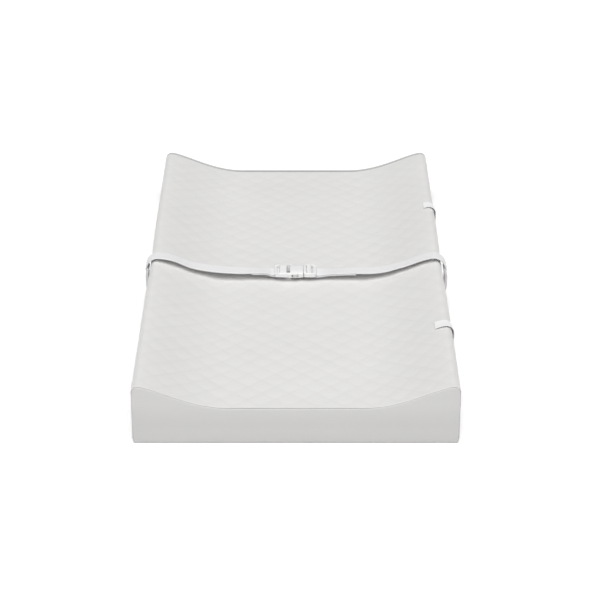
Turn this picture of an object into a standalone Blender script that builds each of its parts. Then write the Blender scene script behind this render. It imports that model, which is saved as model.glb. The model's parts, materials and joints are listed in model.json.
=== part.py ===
"""Contoured baby changing pad: a foam pad with two raised long rims, sewn into a vinyl
cover, with a one-inch safety belt and a side-release buckle across the middle.

Metres, +Z up. +Y runs to the head end, +X to the pad's right, and the origin is the
centre of the underside, so the pad rests on z = 0.
"""

import math

import bmesh
import bpy
from mathutils import Vector

# ---- the pad -------------------------------------------------------------------------
PAD_LENGTH = 0.813          # 32 inches
PAD_WIDTH = 0.432           # 17 inches
RIM_HEIGHT = 0.083          # crest of the two long rims
HOLLOW_DEPTH = 0.0315       # from the crest down to the flat middle
RIM_RADIUS = 0.009          # outer top edge of a rim
SLOPE_START = 0.009         # inboard distances from the side wall
SLOPE_END = 0.125
SLOPE_POWER = 0.75          # below 1, the slope falls away sooner
WALL_TAPER = 0.0026         # how far the side wall leans in at its foot
FOOT_RADIUS = 0.006
END_ROLL = 0.004            # rounding where the top turns down to the end panels

# ---- its layers ----------------------------------------------------------------------
GAP = 0.0003                # clearance between touching pieces
BASE_THICKNESS = 0.0012
COVER_THICKNESS = 0.0008
WADDING_THICKNESS = 0.0018
SEAM_ANGLE = 51.0           # degrees round the end roll, where cover and end panel meet
SEAM_HALF_ANGLE = 3.0

# ---- the belt ------------------------------------------------------------------------
BELT_Y = -0.0125            # centre of the belt, a little to the foot side
WEBBING_WIDTH = 0.025
WEBBING_THICKNESS = 0.002
BELT_STANDOFF = 0.0012      # between the webbing and the side wall
BELT_FOOT = 0.010           # height of the sewn ends
# middle line from the side wall, clear over the rim and down to the buckle
BELT_LINE = (
    (0.2182, 0.0700), (0.2172, 0.0778), (0.2128, 0.0842), (0.2040, 0.0870), (0.1950, 0.0865),
    (0.1850, 0.0838), (0.1760, 0.0804), (0.1660, 0.0765), (0.1550, 0.0727), (0.1400, 0.0690),
    (0.1180, 0.0655), (0.0960, 0.0638), (0.0670, 0.0622), (0.0450, 0.0606),
)
BELT_LEVEL_X = 0.036        # from here in, the webbing runs level into the buckle
FOLD_STITCH_X = -0.048      # middle of the stitching that holds the fold at the socket
RETURN_PLY_END = 0.064      # how far from the middle the sewn-back ply reaches
TAIL_END = 0.088            # and the loose tail of the adjustable half

# ---- the buckle ----------------------------------------------------------------------
BUCKLE_Z = 0.0616           # its middle plane
BUCKLE_HALF_HEIGHT = 0.0045
LADDER_HALF_WIDTH = 0.0131  # slots that the webbing runs through
BAR_UNDERSIDE = -0.0007     # from the middle plane
CENTRE_BAR_TOP = 0.0016
LOAD_PLY = -0.002           # heights of the webbing's plies, from the middle plane
OVER_BAR_PLY = 0.0029
LOWER_PLY = -0.0043
WEBBING_BEND = 0.0014       # bend radius of the webbing's middle line
SOCKET_OUTER_SLOT = (-0.0275, -0.022)
SOCKET_INNER_SLOT = (-0.0155, -0.0085)
PLUG_OUTER_SLOT = (0.0206, 0.025)
PLUG_INNER_SLOT = (0.0136, 0.0176)
SOCKET_END = -0.031
SOCKET_MOUTH = 0.0108
PLUG_END = 0.0298
CAVITY_HALF_WIDTH = 0.0134
CAVITY_HALF_HEIGHT = 0.0026
PRONG_HALF_HEIGHT = 0.0022
PRONG_PIVOT = (0.0093, 0.0108)
PRONG_ROOT_RADIUS = 0.0015

# ---- the labels ----------------------------------------------------------------------
LABEL_WIDTH = 0.022
LABEL_THICKNESS = 0.0006
LABEL_FOOT = 0.040
# for each label, its middle along the pad and how far inboard it reaches
LABEL_PLACES = {"front_label": (-0.225, 0.023), "rear_label": (0.184, 0.016)}

# ---- the stitching -------------------------------------------------------------------
THREAD_BAND = 0.0012
THREAD_THICKNESS = 0.0005
STITCH_LENGTH = 0.016
STITCH_WIDTH = 0.018


def material(name, colour, roughness):
    """A plain Principled material, made once and then shared."""
    found = bpy.data.materials.get(name)
    if found:
        return found
    made = bpy.data.materials.new(name)
    made.use_nodes = True
    shader = made.node_tree.nodes["Principled BSDF"]
    shader.inputs["Base Color"].default_value = (*colour, 1.0)
    shader.inputs["Roughness"].default_value = roughness
    shader.inputs["Metallic"].default_value = 0.0
    made.diffuse_color = (*colour, 1.0)
    return made


def cover_vinyl():
    return material("cover_vinyl", (0.80, 0.79, 0.78), 0.42)


def base_vinyl():
    return material("base_vinyl", (0.72, 0.72, 0.71), 0.70)


def foam():
    return material("foam", (0.86, 0.80, 0.62), 0.95)


def wadding():
    return material("wadding", (0.90, 0.90, 0.90), 0.95)


def webbing():
    return material("webbing", (0.83, 0.83, 0.84), 0.65)


def thread():
    return material("thread", (0.85, 0.85, 0.85), 0.60)


def buckle_plastic():
    return material("buckle_plastic", (0.84, 0.84, 0.83), 0.35)


def label_satin():
    return material("label_satin", (0.90, 0.90, 0.90), 0.45)


# ---- building helpers ----------------------------------------------------------------
def add_object(name, bm, surface):
    """Turns a bmesh into a named object with one material, shaded smooth."""
    mesh = bpy.data.meshes.new(name)
    bm.to_mesh(mesh)
    bm.free()
    mesh.shade_smooth()
    mesh.set_sharp_from_angle(angle=math.radians(35))
    mesh.materials.append(surface)
    made = bpy.data.objects.new(name, mesh)
    bpy.context.scene.collection.objects.link(made)
    return made


def extruded(outline, travel):
    """A bmesh prism: a closed outline of 3D points, moved along travel and capped."""
    bm = bmesh.new()
    cap = bm.faces.new([bm.verts.new(point) for point in outline])
    moved = bmesh.ops.extrude_face_region(bm, geom=[cap])
    verts = [item for item in moved["geom"] if isinstance(item, bmesh.types.BMVert)]
    bmesh.ops.translate(bm, vec=travel, verts=verts)
    bmesh.ops.recalc_face_normals(bm, faces=bm.faces)
    return bm


def box(low, high):
    """A bmesh box between two corners."""
    bm = bmesh.new()
    bmesh.ops.create_cube(bm, size=1.0)
    size = Vector(high) - Vector(low)
    middle = (Vector(high) + Vector(low)) / 2
    bmesh.ops.scale(bm, vec=size, verts=bm.verts)
    bmesh.ops.translate(bm, vec=middle, verts=bm.verts)
    return bm


def cut(target, cutter_bm, name, operation="DIFFERENCE"):
    """Adds a Boolean to target, with a hidden cutter of its own."""
    cutter = add_object(name, cutter_bm, target.data.materials[0])
    cutter.hide_render = True
    cutter.display_type = "WIRE"
    boolean = target.modifiers.new(name, "BOOLEAN")
    boolean.operation = operation
    boolean.solver = "EXACT"
    boolean.object = cutter
    return cutter


def soften(target, width, segments=2):
    """Rounds the sharp edges of target."""
    bevel = target.modifiers.new("soften", "BEVEL")
    bevel.width = width
    bevel.segments = segments
    bevel.limit_method = "ANGLE"
    bevel.angle_limit = math.radians(40)


def arc(centre_x, centre_z, radius, start, end, steps):
    """Points along an arc in the XZ plane, angles in degrees, both ends included."""
    points = []
    for step in range(steps + 1):
        angle = math.radians(start + (end - start) * step / steps)
        points.append(
            Vector((centre_x + radius * math.cos(angle), centre_z + radius * math.sin(angle)))
        )
    return points


def moved_right(points, distance):
    """A polyline moved to the right of its direction of travel, with mitred corners."""
    moved = []
    for i, point in enumerate(points):
        before = points[max(i - 1, 0)]
        after = points[min(i + 1, len(points) - 1)]
        into = (point - before) if i else (after - point)
        out = (after - point) if i < len(points) - 1 else (point - before)
        into, out = into.normalized(), out.normalized()
        normal = Vector((into.y + out.y, -into.x - out.x)).normalized()
        stretch = normal.dot(Vector((into.y, -into.x)))
        moved.append(point + normal * (distance / stretch))
    return moved


def smooth_through(points, steps):
    """A Catmull-Rom curve through a few chosen points, steps to each stretch."""
    padded = [points[0] * 2 - points[1], *points, points[-1] * 2 - points[-2]]
    curve = []
    for a, b, c, d in zip(padded, padded[1:], padded[2:], padded[3:]):
        for step in range(steps):
            t = step / steps
            curve.append(
                0.5 * (2 * b + (c - a) * t + (2 * a - 5 * b + 4 * c - d) * t**2
                       + (3 * b - a - 3 * c + d) * t**3)
            )
    curve.append(points[-1])
    return curve


def mirrored(points):
    """The same path on the other side of the pad, in the same order."""
    return [Vector((-point.x, point.y)) for point in points]


# ---- the pad's cross-section ---------------------------------------------------------
def surface_height(inboard):
    """Height of the top surface at a distance from the side wall."""
    t = min(max((inboard - SLOPE_START) / (SLOPE_END - SLOPE_START), 0.0), 1.0)
    t **= SLOPE_POWER
    return RIM_HEIGHT - HOLLOW_DEPTH * t * t * (3 - 2 * t)


def pad_outline(inset=0.0):
    """The cross-section from the left foot, over both rims, to the right foot."""
    base = BASE_THICKNESS + GAP
    foot_x = PAD_WIDTH / 2 - WALL_TAPER - FOOT_RADIUS
    foot = arc(foot_x, base + FOOT_RADIUS, FOOT_RADIUS, -90, 0, 4)
    rim = arc(PAD_WIDTH / 2 - RIM_RADIUS, RIM_HEIGHT - RIM_RADIUS, RIM_RADIUS, 0, 90, 6)
    steps = 14
    slope = []
    for step in range(1, steps + 1):
        inboard = SLOPE_START + (SLOPE_END - SLOPE_START) * step / steps
        slope.append(Vector((PAD_WIDTH / 2 - inboard, surface_height(inboard))))
    right = foot + rim + slope
    return moved_right(mirrored(right) + right[::-1], inset)


def end_roll(start, end, steps):
    """(distance from the end plane, inset) pairs round the roll at an end of the pad."""
    pairs = []
    for step in range(steps + 1):
        angle = math.radians(start + (end - start) * step / steps)
        pairs.append((END_ROLL * (1 - math.sin(angle)), END_ROLL * (1 - math.cos(angle))))
    return pairs


def skin(name, stations, thickness, surface, capped=False):
    """A sheet over the pad through (y, inset) stations, thickened inwards."""
    bm = bmesh.new()
    rows = []
    for y, inset in stations:
        rows.append([bm.verts.new((p.x, y, p.y)) for p in pad_outline(inset)])
    for near, far in zip(rows, rows[1:]):
        for i in range(len(near) - 1):
            bm.faces.new((near[i], near[i + 1], far[i + 1], far[i]))
    if capped:
        bm.faces.new(rows[0][::-1])
    made = add_object(name, bm, surface)
    solidify = made.modifiers.new("thickness", "SOLIDIFY")
    solidify.thickness = thickness
    solidify.offset = -1.0
    solidify.use_even_offset = True
    return made


def build_pad():
    """The foam, its wadding, and the sewn cover of four panels."""
    half = PAD_LENGTH / 2
    roll = end_roll(SEAM_ANGLE - SEAM_HALF_ANGLE, 0.0, 3)
    front = [(distance - half, inset) for distance, inset in roll]
    rear = [(-y, inset) for y, inset in front[::-1]]
    skin("top_cover", front + rear, COVER_THICKNESS, cover_vinyl())

    wadding_inset = COVER_THICKNESS + GAP
    wadding_end = half - END_ROLL - GAP
    stations = [(-wadding_end, wadding_inset), (wadding_end, wadding_inset)]
    skin("quilt_wadding", stations, WADDING_THICKNESS, wadding())

    roll = end_roll(90.0, SEAM_ANGLE + SEAM_HALF_ANGLE, 3)
    stations = [(distance - half, inset) for distance, inset in roll]
    front_panel = skin("front_end_panel", stations, COVER_THICKNESS, cover_vinyl(), capped=True)
    rear_panel = front_panel.copy()
    rear_panel.name = "rear_end_panel"
    rear_panel.rotation_euler = (0.0, 0.0, math.pi)
    bpy.context.scene.collection.objects.link(rear_panel)

    foam_inset = wadding_inset + WADDING_THICKNESS + GAP
    foam_half = half - COVER_THICKNESS - 2 * GAP
    section = pad_outline(foam_inset)
    section = [Vector((section[0].x, BASE_THICKNESS + GAP)), *section,
               Vector((section[-1].x, BASE_THICKNESS + GAP))]
    outline = [(p.x, -foam_half, p.y) for p in section]
    add_object("foam_core", extruded(outline, (0, 2 * foam_half, 0)), foam())

    base_x = PAD_WIDTH / 2 - WALL_TAPER - FOOT_RADIUS + COVER_THICKNESS
    base_y = half - COVER_THICKNESS
    corner = FOOT_RADIUS
    outline = []
    for sign_x, sign_y, start in ((1, 1, 0), (-1, 1, 90), (-1, -1, 180), (1, -1, 270)):
        centre = (sign_x * (base_x - corner), sign_y * (base_y - corner))
        outline += [(p.x, p.y, 0.0) for p in arc(*centre, corner, start, start + 90, 5)]
    add_object("bottom_panel", extruded(outline, (0, 0, BASE_THICKNESS)), base_vinyl())


# ---- straps, labels and stitching ----------------------------------------------------
def ribbon(name, path, thickness, centre_y, width, surface):
    """A flat strip: an XZ path given a thickness, then a width along Y."""
    sides = moved_right(path, thickness / 2) + moved_right(path, -thickness / 2)[::-1]
    outline = [(p.x, centre_y - width / 2, p.y) for p in sides]
    return add_object(name, extruded(outline, (0, width, 0)), surface)


def belt_run():
    """Middle line of the right half, from its sewn foot over the rim to the buckle."""
    wall_x = PAD_WIDTH / 2 + BELT_STANDOFF + WEBBING_THICKNESS / 2
    chosen = [*BELT_LINE, (BELT_LEVEL_X, BUCKLE_Z + LOAD_PLY)]
    free = smooth_through([Vector(point) for point in chosen], 3)
    return [Vector((wall_x, BELT_FOOT)), *free]


def threaded(slot_x, far_x, end_x):
    """The webbing up through the outer slot, over the bar, down and back underneath."""
    bend = WEBBING_BEND
    load = BUCKLE_Z + LOAD_PLY
    over = BUCKLE_Z + OVER_BAR_PLY
    under = BUCKLE_Z + LOWER_PLY
    return (
        arc(slot_x + bend, load + bend, bend, 270, 180, 3)
        + arc(slot_x - bend, over - bend, bend, 0, 90, 3)
        + arc(far_x + bend, over - bend, bend, 90, 180, 3)
        + arc(far_x + bend, under + bend, bend, 180, 270, 3)
        + [Vector((end_x, under))]
    )


def bar_plies(bar_low, bar_high):
    """Where the webbing stands on either side of a centre bar."""
    clear = GAP + WEBBING_THICKNESS / 2
    return bar_high + clear, bar_low - clear


def stitch_frame(name, outer, inner, travel):
    """A sewn rectangle of thread: one flat ring, extruded along travel."""
    bm = bmesh.new()
    rings = [[bm.verts.new(point) for point in ring] for ring in (outer, inner)]
    for i in range(4):
        j = (i + 1) % 4
        bm.faces.new((rings[0][i], rings[0][j], rings[1][j], rings[1][i]))
    moved = bmesh.ops.extrude_face_region(bm, geom=bm.faces[:])
    verts = [item for item in moved["geom"] if isinstance(item, bmesh.types.BMVert)]
    bmesh.ops.translate(bm, vec=travel, verts=verts)
    bmesh.ops.recalc_face_normals(bm, faces=bm.faces)
    return add_object(name, bm, thread())


def rectangle(along, across, place):
    """Four corners of a rectangle about a point, from two half-size vectors."""
    along, across, place = Vector(along), Vector(across), Vector(place)
    return [place + a * along + b * across for a, b in ((-1, -1), (1, -1), (1, 1), (-1, 1))]


def build_belt():
    """Both halves of the belt, threaded through the buckle, and their stitching."""
    run = belt_run()
    slot_x, far_x = bar_plies(-SOCKET_INNER_SLOT[0], -SOCKET_OUTER_SLOT[1])
    looped = run + threaded(slot_x, far_x, RETURN_PLY_END)
    ribbon("left_belt", mirrored(looped), WEBBING_THICKNESS, BELT_Y, WEBBING_WIDTH, webbing())

    load = BUCKLE_Z + LOAD_PLY
    joint_x = PLUG_END + GAP
    ribbon("right_belt", [*run, Vector((joint_x, load))], WEBBING_THICKNESS, BELT_Y,
           WEBBING_WIDTH, webbing())
    slot_x, far_x = bar_plies(PLUG_INNER_SLOT[1], PLUG_OUTER_SLOT[0])
    looped = [Vector((joint_x - GAP, load))] + threaded(slot_x, far_x, TAIL_END)
    ribbon("right_belt_tail", looped, WEBBING_THICKNESS, BELT_Y, WEBBING_WIDTH, webbing())

    band = THREAD_BAND
    face_x = PAD_WIDTH / 2 + BELT_STANDOFF + WEBBING_THICKNESS + GAP
    for name, side in (("left_belt_stitching", -1), ("right_belt_stitching", 1)):
        place = (side * face_x, BELT_Y, BELT_FOOT + STITCH_LENGTH / 2 + band)
        outer = rectangle((0, STITCH_WIDTH / 2, 0), (0, 0, STITCH_LENGTH / 2), place)
        inner = rectangle((0, STITCH_WIDTH / 2 - band, 0), (0, 0, STITCH_LENGTH / 2 - band), place)
        stitch_frame(name, outer, inner, (side * THREAD_THICKNESS, 0, 0))

    # the fold at the socket is sewn through both plies, which are level there
    place = (FOLD_STITCH_X, BELT_Y, BUCKLE_Z + LOWER_PLY - WEBBING_THICKNESS / 2 - GAP)
    outer = rectangle((STITCH_LENGTH / 2, 0, 0), (0, STITCH_WIDTH / 2, 0), place)
    inner = rectangle((STITCH_LENGTH / 2 - band, 0, 0), (0, STITCH_WIDTH / 2 - band, 0), place)
    stitch_frame("socket_fold_stitching", outer, inner, (0, 0, -THREAD_THICKNESS))


def build_labels():
    """Two blank satin tabs folded over the right rim, each held by one row of thread."""
    outer_x = PAD_WIDTH / 2
    rim = arc(outer_x - RIM_RADIUS, RIM_HEIGHT - RIM_RADIUS, RIM_RADIUS, 90, 0, 6)
    lift = -(GAP + LABEL_THICKNESS / 2)
    for name, (centre_y, inboard) in LABEL_PLACES.items():
        start = Vector((outer_x - inboard, surface_height(inboard)))
        middle = (inboard + SLOPE_START) / 2
        path = [start, Vector((outer_x - middle, surface_height(middle))), *rim,
                Vector((outer_x, LABEL_FOOT))]
        label_path = moved_right(path, lift)
        row = [start + (path[1] - start) * share for share in (0.2, 0.5)]
        row_path = moved_right(row, 2 * lift - THREAD_THICKNESS / 2)
        ribbon(name, label_path, LABEL_THICKNESS, centre_y, LABEL_WIDTH, label_satin())
        ribbon(name + "_stitching", row_path, THREAD_THICKNESS, centre_y,
               LABEL_WIDTH - 2 * THREAD_BAND, thread())


# ---- the buckle ----------------------------------------------------------------------
def plate(half_outline, half_height):
    """A slab, mirrored about the belt's centre line, from (x, half width) points."""
    z = BUCKLE_Z - half_height
    outline = [(x, BELT_Y + y, z) for x, y in half_outline]
    outline += [(x, BELT_Y - y, z) for x, y in reversed(half_outline)]
    return extruded(outline, (0, 0, 2 * half_height))


def buckle_box(x_low, x_high, y_low, y_high, z_low, z_high):
    """A box placed from the belt's centre line and the buckle's middle plane."""
    return box((x_low, BELT_Y + y_low, BUCKLE_Z + z_low),
               (x_high, BELT_Y + y_high, BUCKLE_Z + z_high))


def cut_ladder(body, outer_slot, inner_slot, under):
    """Two webbing slots, the low bar between them, and the way in under the end bar."""
    reach = 3 * BUCKLE_HALF_HEIGHT
    wide = LADDER_HALF_WIDTH
    for label, (low, high) in (("outer", outer_slot), ("inner", inner_slot)):
        cut(body, buckle_box(low, high, -wide, wide, -reach, reach), f"{body.name}_{label}_slot")
    bar = sorted((*outer_slot, *inner_slot))[1:3]
    overlap = 2 * GAP
    cut(body, buckle_box(bar[0] - overlap, bar[1] + overlap, -wide, wide, CENTRE_BAR_TOP, reach),
        body.name + "_bar_top")
    cut(body, buckle_box(*under, -wide, wide, -reach, BAR_UNDERSIDE), body.name + "_under")


def build_buckle():
    """The socket on the left half, and on the right half the plug with its two prongs."""
    outline = [(SOCKET_END, 0.0142), (SOCKET_END + 0.0018, 0.016), (-0.011, 0.016),
               (-0.008, 0.0168), (0.0015, 0.0168), (0.0048, 0.0156), (SOCKET_MOUTH, 0.0152)]
    socket = add_object("buckle_socket", plate(outline, BUCKLE_HALF_HEIGHT), buckle_plastic())
    soften(socket, 0.0009)
    cut_ladder(socket, SOCKET_OUTER_SLOT, SOCKET_INNER_SLOT,
               (SOCKET_END - 0.002, SOCKET_INNER_SLOT[1]))
    cut(socket, buckle_box(-0.0069, SOCKET_MOUTH + 0.002, -CAVITY_HALF_WIDTH, CAVITY_HALF_WIDTH,
                           -CAVITY_HALF_HEIGHT, CAVITY_HALF_HEIGHT), "socket_cavity")
    window = CAVITY_HALF_HEIGHT + GAP
    cut(socket, buckle_box(-0.0062, 0.0036, -0.02, 0.02, -window, window), "socket_windows")

    outline = [(SOCKET_MOUTH + GAP, 0.0132), (0.0136, 0.016), (PLUG_END - 0.0018, 0.016),
               (PLUG_END, 0.0142)]
    plug = add_object("buckle_plug", plate(outline, BUCKLE_HALF_HEIGHT - GAP), buckle_plastic())
    soften(plug, 0.0009)
    tongue = [(-0.0035, 0.0018), (-0.0022, 0.003), (0.0125, 0.003)]
    cut(plug, plate(tongue, PRONG_HALF_HEIGHT), "plug_tongue", "UNION")
    cut_ladder(plug, PLUG_OUTER_SLOT, PLUG_INNER_SLOT, (PLUG_INNER_SLOT[0], PLUG_END + 0.002))

    pivot_x, pivot_y = PRONG_PIVOT
    root = arc(pivot_x, pivot_y, PRONG_ROOT_RADIUS, -90, 90, 6)
    arm = [(0.0050, 0.0123), (0.0036, 0.0128), (0.0033, 0.0146), (0.0016, 0.0155),
           (-0.0005, 0.0160), (-0.0036, 0.0160), (-0.0048, 0.0152), (-0.0060, 0.0127),
           (-0.0063, 0.0114), (-0.0050, 0.0098)]
    outline = [(p.x, p.y) for p in root] + arm
    for name, side in (("rear_prong", 1), ("front_prong", -1)):
        points = [(x - pivot_x, side * (y - pivot_y), -PRONG_HALF_HEIGHT) for x, y in outline]
        bm = extruded(points, (0, 0, 2 * PRONG_HALF_HEIGHT))
        prong = add_object(name, bm, buckle_plastic())
        prong.location = (pivot_x, BELT_Y + side * pivot_y, BUCKLE_Z)
        soften(prong, 0.0003, 1)


def main():
    for existing in list(bpy.data.objects):
        bpy.data.objects.remove(existing, do_unlink=True)
    build_pad()
    build_belt()
    build_labels()
    build_buckle()


main()
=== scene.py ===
"""Looks of the contoured changing pad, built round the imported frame.

The cover's top panel is quilted flat in (u, v), where u runs across the pad along its surface and
v along its length, inflated by a cloth simulation, and then laid over the pad's section.
"""

import json
import math

import bmesh
import bpy
import numpy as np
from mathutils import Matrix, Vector, noise
from mathutils.geometry import delaunay_2d_cdt


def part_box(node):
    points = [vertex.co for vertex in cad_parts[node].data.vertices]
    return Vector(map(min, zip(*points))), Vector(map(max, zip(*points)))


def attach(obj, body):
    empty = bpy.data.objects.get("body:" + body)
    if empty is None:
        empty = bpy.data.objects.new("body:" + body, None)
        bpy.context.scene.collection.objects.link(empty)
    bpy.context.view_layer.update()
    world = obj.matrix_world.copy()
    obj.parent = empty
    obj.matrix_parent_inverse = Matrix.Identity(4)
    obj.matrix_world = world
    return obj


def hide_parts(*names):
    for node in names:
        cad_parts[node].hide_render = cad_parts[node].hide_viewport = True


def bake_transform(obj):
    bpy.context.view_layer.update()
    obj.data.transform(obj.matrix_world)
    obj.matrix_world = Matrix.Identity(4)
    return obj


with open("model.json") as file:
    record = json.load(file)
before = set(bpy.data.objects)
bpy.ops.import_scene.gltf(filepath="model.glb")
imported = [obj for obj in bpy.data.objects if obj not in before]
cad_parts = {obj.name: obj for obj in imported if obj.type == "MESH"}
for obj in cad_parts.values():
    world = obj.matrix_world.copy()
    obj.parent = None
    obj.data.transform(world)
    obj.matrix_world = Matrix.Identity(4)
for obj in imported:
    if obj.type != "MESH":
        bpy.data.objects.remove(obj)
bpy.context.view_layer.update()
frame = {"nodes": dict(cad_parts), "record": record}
nodes = frame["nodes"]

# ---- the pad, from the frame ---------------------------------------------------------
panel_low, panel_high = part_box("front_end_panel")
PAD_WIDTH = panel_high.x - panel_low.x
RIM_HEIGHT = panel_high.z
HALF_LENGTH = -panel_low.y
BASE_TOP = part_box("bottom_panel")[1].z

# ---- its section, as the CAD has it --------------------------------------------------
HOLLOW_DEPTH = 0.0315
RIM_RADIUS = 0.009
SLOPE_START = 0.009
SLOPE_END = 0.125
SLOPE_POWER = 0.75
WALL_TAPER = 0.0
FOOT_RADIUS = 0.0025
GAP = 0.0003

# ---- what the soft pad does on top of that -------------------------------------------
HOLLOW_CROWN = 0.0015       # the foam swells a little in the middle of the hollow
CROWN_ACROSS = (0.05, 0.13)     # where that fades out across and along the pad, and how high
CROWN_ALONG = (0.27, 0.39)      # up it starts
CROWN_ABOVE = (0.03, 0.045)
WAIST_PINCH = 0.0012        # and the belt draws the rims in
WAIST_REACH = 0.075
PINCH_ACROSS = (0.12, 0.20)
PINCH_ABOVE = (0.008, 0.06)
FOOT_ROLL = 0.0014          # rounding along the bottom edge of the end panels
FOOT_DROP = 0.0012          # their lower edge hangs below the seam line
FOOT_FLARE = 0.0040         # and stands out a little
FLARE_TOP = 0.025
EDGE_ROLL = 0.0028          # rounding along their top edge

# ---- seams ---------------------------------------------------------------------------
LIP_RADIUS = 0.0004         # how tightly a sewn edge turns in
LIP_ANGLE = math.radians(94)
LIP_TAIL = 0.0016
LIP_SHARES = (0.25, 0.5, 0.75, 1.0)     # rows of mesh round a turned-in edge
SLOPE_SEAM_GAP = 0.0002     # and on the rims, where it is drawn tight
RIM_START = (0.07, 0.12)    # the rims begin and end between these distances from the middle
RIM_END = (0.2115, 0.2150)
FRONT_SEAM = math.radians(28)   # how far round the end roll each seam lies
REAR_SEAM = math.radians(-125)  # below 0, it is on the flat top short of the roll
SEAM_GAP = {FRONT_SEAM: 0.0005, REAR_SEAM: 0.0016}  # groove between the edges, in the hollow
# the seam's darkness is painted shade for its groove
RIM_SEAM_SHOWS = 0.25       # share of its darkness left where it is drawn tight
UNDER_SEAM = math.radians(15)
WALL_SEAM_ANGLE = math.radians(-55)   # round the foot arc, where the side wall ends
SHEET_THICKNESS = 0.00045

# ---- quilting ------------------------------------------------------------------------
DIAMOND_ACROSS = 0.0364     # diagonals of one quilted diamond
DIAMOND_ALONG = 0.0347
QUILT_CENTRE = (-0.009, -0.002)
QUILT_STEPS = 4             # mesh edges along each side of a diamond
QUILT_SINK = 0.0001         # how far the quilting lines pull in
QUILT_PUFF = 0.0003         # how far a diamond rises above its lines
QUILT_MARGIN = 0.014        # the quilting fades out this far from a seam
QUILT_PRESSURE = 4.0
QUILT_CREASE = 0.75         # how sharp the quilting lines stay
QUILT_FLAT = 0.002          # it is flat this close to an end seam
WALL_FADE = 0.006           # and it fades out this far from the seam at a wall's foot
LUMPS = ((14, 1, 0.0003), (45, 2, 0.0002))  # (scale, seed, height) of the cover's unevenness
LUMP_MARGIN = 0.02
STITCHES_PER_SIDE = 8
SIM_FRAMES = 20

# ---- the end panels' mesh ------------------------------------------------------------
PANEL_EDGE_STEP = 0.005
PANEL_NET = 0.006
PANEL_MARGIN = 0.004
PANEL_PRESSURE = 1.5
PANEL_CROWN = 0.0012
PANEL_LUMPS = (16, 0.0004)
ROLL_SHARES = (0.15, 0.3, 0.45, 0.6, 0.75, 0.9, 1.0)

# ---- the bottom panel ----------------------------------------------------------------
BOTTOM_OVER = (0.0048, -0.001)  # how far it reaches past its CAD node, across and along
BOTTOM_CORNER = 0.008
BOTTOM_EDGE_RINGS = 7
DOT_HEIGHT = 0.0003
DOT_RADIUS = 0.0016
DOT_PITCH = 0.011
DOT_MARGIN = 0.02
DOT_SIDES = 8

# ---- the filling ---------------------------------------------------------------------
FOAM_INSET = 0.0034
FOAM_END_GAP = 0.0004
FOAM_LUMPS = (60, 5, 0.0002)
WADDING_INSET = 0.0012
WADDING_THICKNESS = 0.0015

# ---- the belt ------------------------------------------------------------------------
BELT_Y = -0.0125
WEBBING_WIDTH = 0.025
WEBBING_THICKNESS = 0.0020
BELT_STANDOFF = 0.0012
CAD_WEBBING = 0.002
BELT_FOOT = 0.010
BELT_LINE = (
    (0.2182, 0.0700), (0.2172, 0.0778), (0.2128, 0.0842), (0.2040, 0.0870), (0.1950, 0.0865),
    (0.1850, 0.0838), (0.1760, 0.0804), (0.1660, 0.0765), (0.1550, 0.0727), (0.1400, 0.0690),
    (0.1180, 0.0655), (0.0960, 0.0638), (0.0670, 0.0622), (0.0450, 0.0606),
)
BELT_LEVEL_X = 0.036
BELT_BOW = {-1: 0.0024, 1: 0.0043}  # how far each half bows out from its side wall
FOLD_OFFSET = 0.0019        # its end is folded under and lies between it and the wall
FOLD_TOP = 0.070
FOOT_OUT = 0.0007           # so its sewn foot stands this much further out
BOW_START = (0.022, 0.046)  # heights between which the bow grows, and fades again
BOW_END = (0.058, 0.081)
BOW_ACROSS = (0.205, 0.2165)
SHOULDER = (0.2128, 0.005)  # where the belt turns over the rim, and over what reach
SHOULDER_DROP = 0.0012
ON_WALL = (0.2125, 0.2172)
UNDER_SPREAD = (0.036, 0.045, 0.0003)   # the lower ply parts a little from the one above
# how each half hangs: (distance from the middle, rise, height of its near edge over its middle)
BELT_HANG = {
    -1: ((0.034, 0.0, 0.0), (0.041, 0.0018, 0.0018), (0.064, 0.0, 0.0013),
         (0.080, -0.0008, 0.0006), (0.155, -0.0008, 0.0006), (0.175, 0.0006, 0.0012),
         (0.200, -0.0012, 0.0008), (0.212, 0.0, 0.0008)),
    1: ((0.034, 0.0, 0.0), (0.052, -0.0010, 0.0017), (0.085, -0.0010, 0.0009),
        (0.110, -0.0028, 0.0009), (0.132, -0.0028, 0.0009), (0.148, -0.0011, 0.0011),
        (0.190, -0.0008, 0.0010), (0.212, 0.0, 0.0008)),
}
HANG_BLUR = 0.006           # reach over which those values are smoothed
RETURN_PLY_END = 0.064
TAIL_END = 0.088
BUCKLE_Z = 0.0616
LOAD_PLY = -0.002
OVER_BAR_PLY = 0.0029
LOWER_PLY = -0.0043
WEBBING_BEND = 0.0014
SELVEDGE_WIDTH = 0.003
SELVEDGE_RADIUS = 0.0009
SELVEDGE_RIDGE = (0.0008, 0.0014, 0.0026, 0.06)     # rises, stays, is gone; how much thicker
BODY_SHARE = 0.94
SOCKET_BAR = (0.0155, 0.022)
PLUG_BAR = (0.0176, 0.0206)

# ---- the buckle ----------------------------------------------------------------------
MOULD_DETAIL = 0.0003       # mesh size on the moulded pieces
MOULD_SMOOTHING = 5
SOCKET_END = -0.031
PLUG_END = 0.0298
BUCKLE_HALF_WIDTH = 0.0168
CROWN_AT_SIDE = 0.50        # half height left at the sides, as a share
CROWN_AT_END = 0.50
END_CROWN_REACH = 0.009
CROWN_STARTS = (0.0024, 0.0040)     # only what is further than this off the middle is crowned
BELLY = 0.30                # how much deeper the underside is in the middle
BELLY_REACH = 0.016
BULGE = 0.05                # and how much wider the sides
BULGE_PLACE = (-0.004, 0.014)
BULGE_SIDE = (0.85, 0.95)
PLUG_LIP = ((0.0126, 0.0022), (0.0151, 0.0043))   # (x, height) corners, over the inner slot
LIP_OVERHANG = 0.0012

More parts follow.
